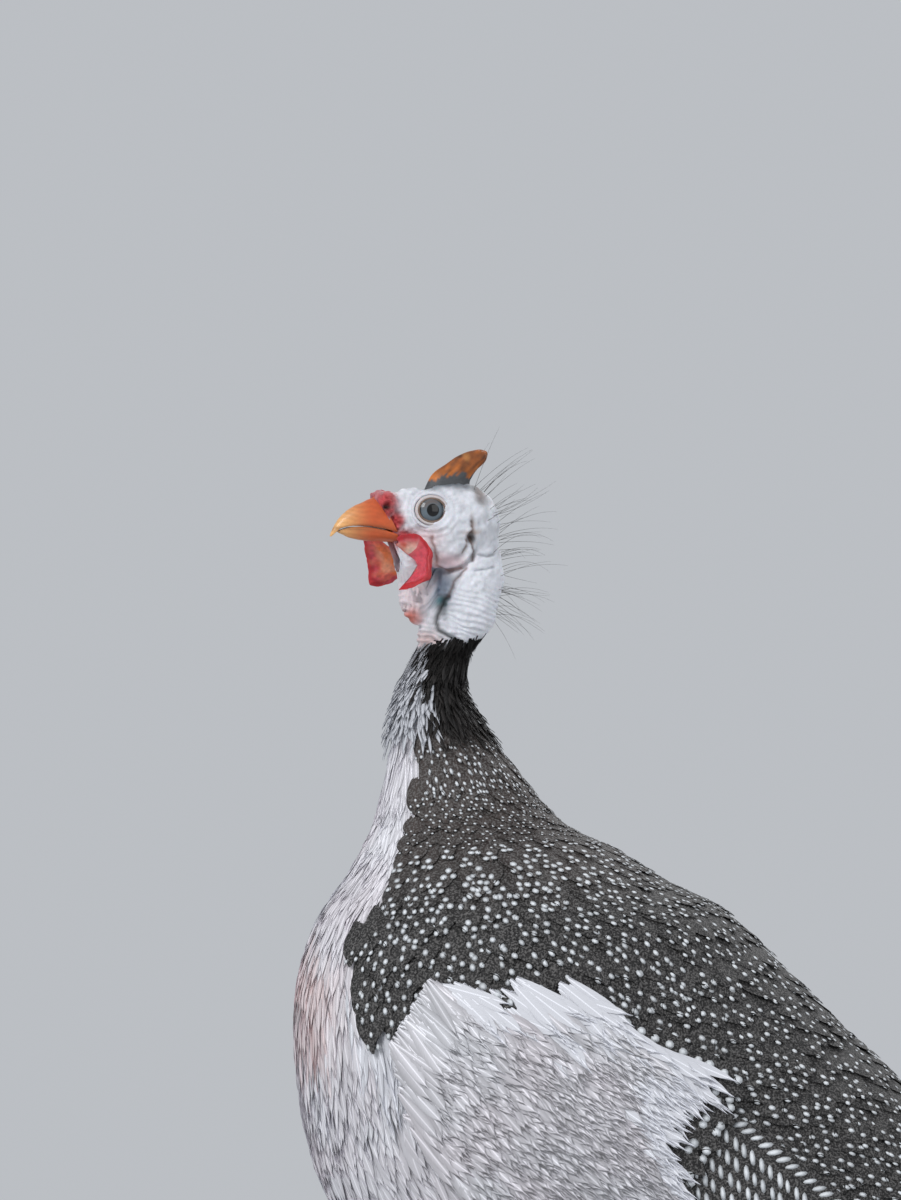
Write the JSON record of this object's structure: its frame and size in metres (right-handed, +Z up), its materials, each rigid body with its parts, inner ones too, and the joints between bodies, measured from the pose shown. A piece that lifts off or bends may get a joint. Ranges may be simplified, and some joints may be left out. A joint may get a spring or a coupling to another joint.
{
  "type": "guinea fowl",
  "caption": "Life-size still model of a standing helmeted guinea fowl, head raised, wings folded, with horn casque, bare head, wattles and scaled legs.",
  "frame": {"origin": "on the floor under the middle of the model's bounding box", "axes": "+Z up, -X the way the body faces, -Y the bird's left side"},
  "size_m": [0.3202, 0.1776, 0.4643],
  "materials": {
    "bare_skin": "matt, finely wrinkled bare skin",
    "plumage": "dark grey feathers with pearl spots, white on breast and flank",
    "casque": "dull amber horn",
    "bill": "smooth orange horn, paler at the tip",
    "wattle": "soft red skin",
    "eye": "wet dark grey-brown",
    "leg": "slate grey scales with an orange tinge",
    "claw": "dark horn"
  },
  "bodies": {
    "root": {"head": "bare_skin", "neck": "plumage", "torso": "plumage", "tail": "plumage", "casque": "casque", "bill_upper": "bill", "bill_lower": "bill", "eye_left": "eye", "wattle_left": "wattle", "wing_left": "plumage", "thigh_left": "plumage", "shank_left": "leg", "foot_left": "leg", "toe_inner_left": "leg", "claw_inner_left": "claw", "toe_middle_left": "leg", "claw_middle_left": "claw", "toe_outer_left": "leg", "claw_outer_left": "claw", "toe_back_left": "leg", "claw_back_left": "claw", "eye_right": "eye", "wattle_right": "wattle", "wing_right": "plumage", "thigh_right": "plumage", "shank_right": "leg", "foot_right": "leg", "toe_inner_right": "leg", "claw_inner_right": "claw", "toe_middle_right": "leg", "claw_middle_right": "claw", "toe_outer_right": "leg", "claw_outer_right": "claw", "toe_back_right": "leg", "claw_back_right": "claw"}
  },
  "joints": []
}
